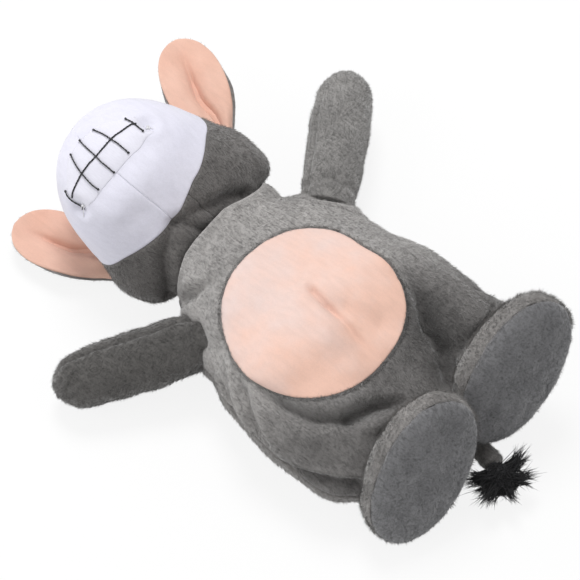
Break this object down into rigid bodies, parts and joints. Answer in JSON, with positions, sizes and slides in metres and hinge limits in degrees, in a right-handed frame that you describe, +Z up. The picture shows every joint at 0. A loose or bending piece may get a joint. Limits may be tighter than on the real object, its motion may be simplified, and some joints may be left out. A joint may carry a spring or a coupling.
{
  "type": "plush hand puppet",
  "caption": "Soft donkey glove puppet lying on its back, with a hand opening at the hem, finger pockets in head and arms, and hinged ears, legs and tail.",
  "frame": {"origin": "on the table under the belly, where the glove's flat back rests", "axes": "+Y towards the head, +X towards the puppet's left, +Z up out of the belly"},
  "size_m": [0.2531, 0.3161, 0.0978],
  "materials": {
    "grey_plush": "short pile",
    "grey_lining": "knit",
    "sole_plush": "short pile",
    "peach_plush": "short pile",
    "white_plush": "short pile",
    "satin": "satin",
    "white_thread": "thread",
    "black_thread": "thread",
    "eye_bead": "polished",
    "washer": "moulded",
    "black_fur": "long pile",
    "fibre": "loose filling"
  },
  "bodies": {
    "glove": {"body_front": "grey_plush", "body_back": "grey_lining", "belly_patch": "peach_plush", "hem_band": "grey_lining"},
    "neck": {"neck_collar": "grey_lining"},
    "head": {"head_left_panel": "grey_plush", "head_right_panel": "grey_plush", "head_filling": "fibre", "finger_pocket": "grey_lining", "muzzle_left_panel": "white_plush", "muzzle_right_panel": "white_plush", "muzzle_filling": "fibre", "mouth_patch": "satin", "grin_stitch": "black_thread", "tooth_stitches": "black_thread", "mouth_corner_knots": "white_thread", "nostril_stitches": "black_thread", "left_eye": "eye_bead", "right_eye": "eye_bead", "eye_washers": "washer", "forelock": "black_fur"},
    "left_ear": {"left_ear_back": "grey_plush", "left_ear_lining": "peach_plush"},
    "right_ear": {"right_ear_back": "grey_plush", "right_ear_lining": "peach_plush"},
    "left_arm": {"left_arm": "grey_plush"},
    "right_arm": {"right_arm": "grey_plush"},
    "left_foot": {"left_leg": "grey_plush", "left_foot_upper": "grey_plush", "left_foot_filling": "fibre", "left_sole": "sole_plush"},
    "right_foot": {"right_leg": "grey_plush", "right_foot_upper": "grey_plush", "right_foot_filling": "fibre", "right_sole": "sole_plush"},
    "tail": {"tail_tube": "grey_plush", "tail_tuft": "black_fur"}
  },
  "joints": [
    {"name": "head_turn", "type": "hinge", "parent": "glove", "child": "neck", "pos_m": [0.002, 0.064, 0.0224], "axis": [0, 1, 0], "range_deg": [-20, 20]},
    {"name": "head_nod", "type": "hinge", "parent": "neck", "child": "head", "pos_m": [0.002, 0.064, 0.0224], "axis": [1, 0, 0], "range_deg": [-8, 14]},
    {"name": "left_ear_flap", "type": "hinge", "parent": "head", "child": "left_ear", "pos_m": [0.04827, 0.12077, 0.03155], "axis": [0.866, -0.5, 0], "range_deg": [-30, 10]},
    {"name": "right_ear_flap", "type": "hinge", "parent": "head", "child": "right_ear", "pos_m": [-0.04873, 0.11856, 0.0079], "axis": [0.9563, 0.2924, 0], "range_deg": [-45, 8]},
    {"name": "left_arm_lift", "type": "hinge", "parent": "glove", "child": "left_arm", "pos_m": [0.05333, 0.04508, 0.02751], "axis": [0.5299, -0.848, 0], "range_deg": [-15, 40]},
    {"name": "right_arm_lift", "type": "hinge", "parent": "glove", "child": "right_arm", "pos_m": [-0.05659, 0.03832, 0.02809], "axis": [0.6428, 0.766, 0], "range_deg": [-15, 40]},
    {"name": "left_leg_swing", "type": "hinge", "parent": "glove", "child": "left_foot", "pos_m": [0.03598, -0.0724, 0.04261], "axis": [0.9518, 0, -0.3067], "range_deg": [-60, 4]},
    {"name": "right_leg_swing", "type": "hinge", "parent": "glove", "child": "right_foot", "pos_m": [-0.04443, -0.0724, 0.04561], "axis": [0.9834, 0, 0.1815], "range_deg": [-60, 4]},
    {"name": "tail_swing", "type": "hinge", "parent": "glove", "child": "tail", "pos_m": [-0.003, -0.0709, 0.0048], "axis": [0, 0, 1], "range_deg": [-20, 5]}
  ]
}
